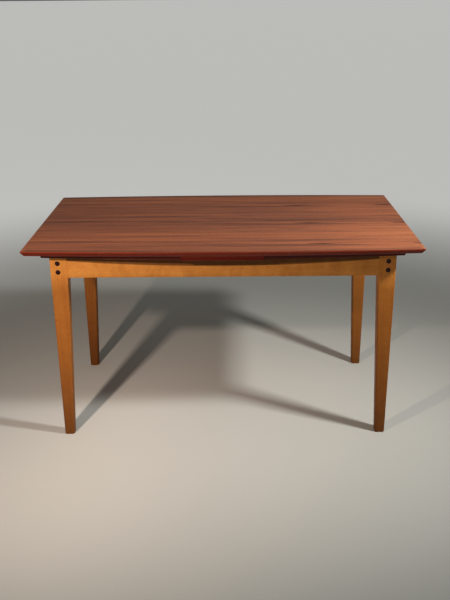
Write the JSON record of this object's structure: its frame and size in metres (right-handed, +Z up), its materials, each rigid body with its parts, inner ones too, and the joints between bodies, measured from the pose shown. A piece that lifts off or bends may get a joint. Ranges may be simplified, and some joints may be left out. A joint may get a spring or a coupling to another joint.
{
  "type": "draw-leaf table",
  "caption": "Draw-leaf dining table with a boat-shaped teak top, leaves on inclined lopers under its ends, and tapered oak legs.",
  "frame": {"origin": "on the floor under the middle of the table", "axes": "+X along the table's length to the right, +Y to the back, +Z up"},
  "size_m": [1.326, 0.782, 0.72],
  "materials": {
    "teak_veneer": "oiled teak veneer, satin",
    "solid_teak": "oiled solid teak, satin",
    "oak": "oiled oak, golden, satin",
    "beech": "plain beech, waxed, matt",
    "rosewood": "polished rosewood",
    "steel_screws": "bright steel, slightly dulled"
  },
  "bodies": {
    "frame": {"back_apron": "oak", "centre_board_lipping_back": "solid_teak", "centre_board_lipping_front": "solid_teak", "centre_board_panel": "teak_veneer", "centre_board_screws": "steel_screws", "corner_block_back_left": "beech", "corner_block_back_right": "beech", "corner_block_front_left": "beech", "corner_block_front_right": "beech", "corner_block_screws": "steel_screws", "corner_plugs": "rosewood", "corner_screws": "steel_screws", "cross_rail_left": "beech", "cross_rail_right": "beech", "front_apron": "oak", "left_apron": "oak", "leg_back_left": "oak", "leg_back_right": "oak", "leg_front_left": "oak", "leg_front_right": "oak", "right_apron": "oak"},
    "left_leaf": {"left_leaf_lipping_back": "solid_teak", "left_leaf_lipping_front": "solid_teak", "left_leaf_lipping_inner": "solid_teak", "left_leaf_lipping_outer": "solid_teak", "left_leaf_panel": "teak_veneer", "left_loper_back": "beech", "left_loper_front": "beech", "left_loper_screws": "steel_screws", "left_stop_pegs": "beech"},
    "right_leaf": {"right_leaf_lipping_back": "solid_teak", "right_leaf_lipping_front": "solid_teak", "right_leaf_lipping_inner": "solid_teak", "right_leaf_lipping_outer": "solid_teak", "right_leaf_panel": "teak_veneer", "right_loper_back": "beech", "right_loper_front": "beech", "right_loper_screws": "steel_screws", "right_stop_pegs": "beech"},
    "top": {"guide_pegs": "beech", "top_lipping_back": "solid_teak", "top_lipping_front": "solid_teak", "top_lipping_left": "solid_teak", "top_lipping_right": "solid_teak", "top_panel": "teak_veneer"}
  },
  "joints": [
    {"name": "left_leaf_draw", "type": "slide", "parent": "frame", "child": "left_leaf", "axis": [-0.9994, 0, 0.0348], "range_m": [0, 0.52642]},
    {"name": "right_leaf_draw", "type": "slide", "parent": "frame", "child": "right_leaf", "axis": [0.9994, 0, 0.0348], "range_m": [0, 0.52642]},
    {"name": "top_lift", "type": "slide", "parent": "frame", "child": "top", "axis": [0, 0, 1], "range_m": [0, 0.0184]}
  ],
  "couplings": [
    {"joint": "right_leaf_draw", "follows": "left_leaf_draw", "ratio": 1},
    {"joint": "top_lift", "follows": "left_leaf_draw", "ratio": 0.034763}
  ]
}
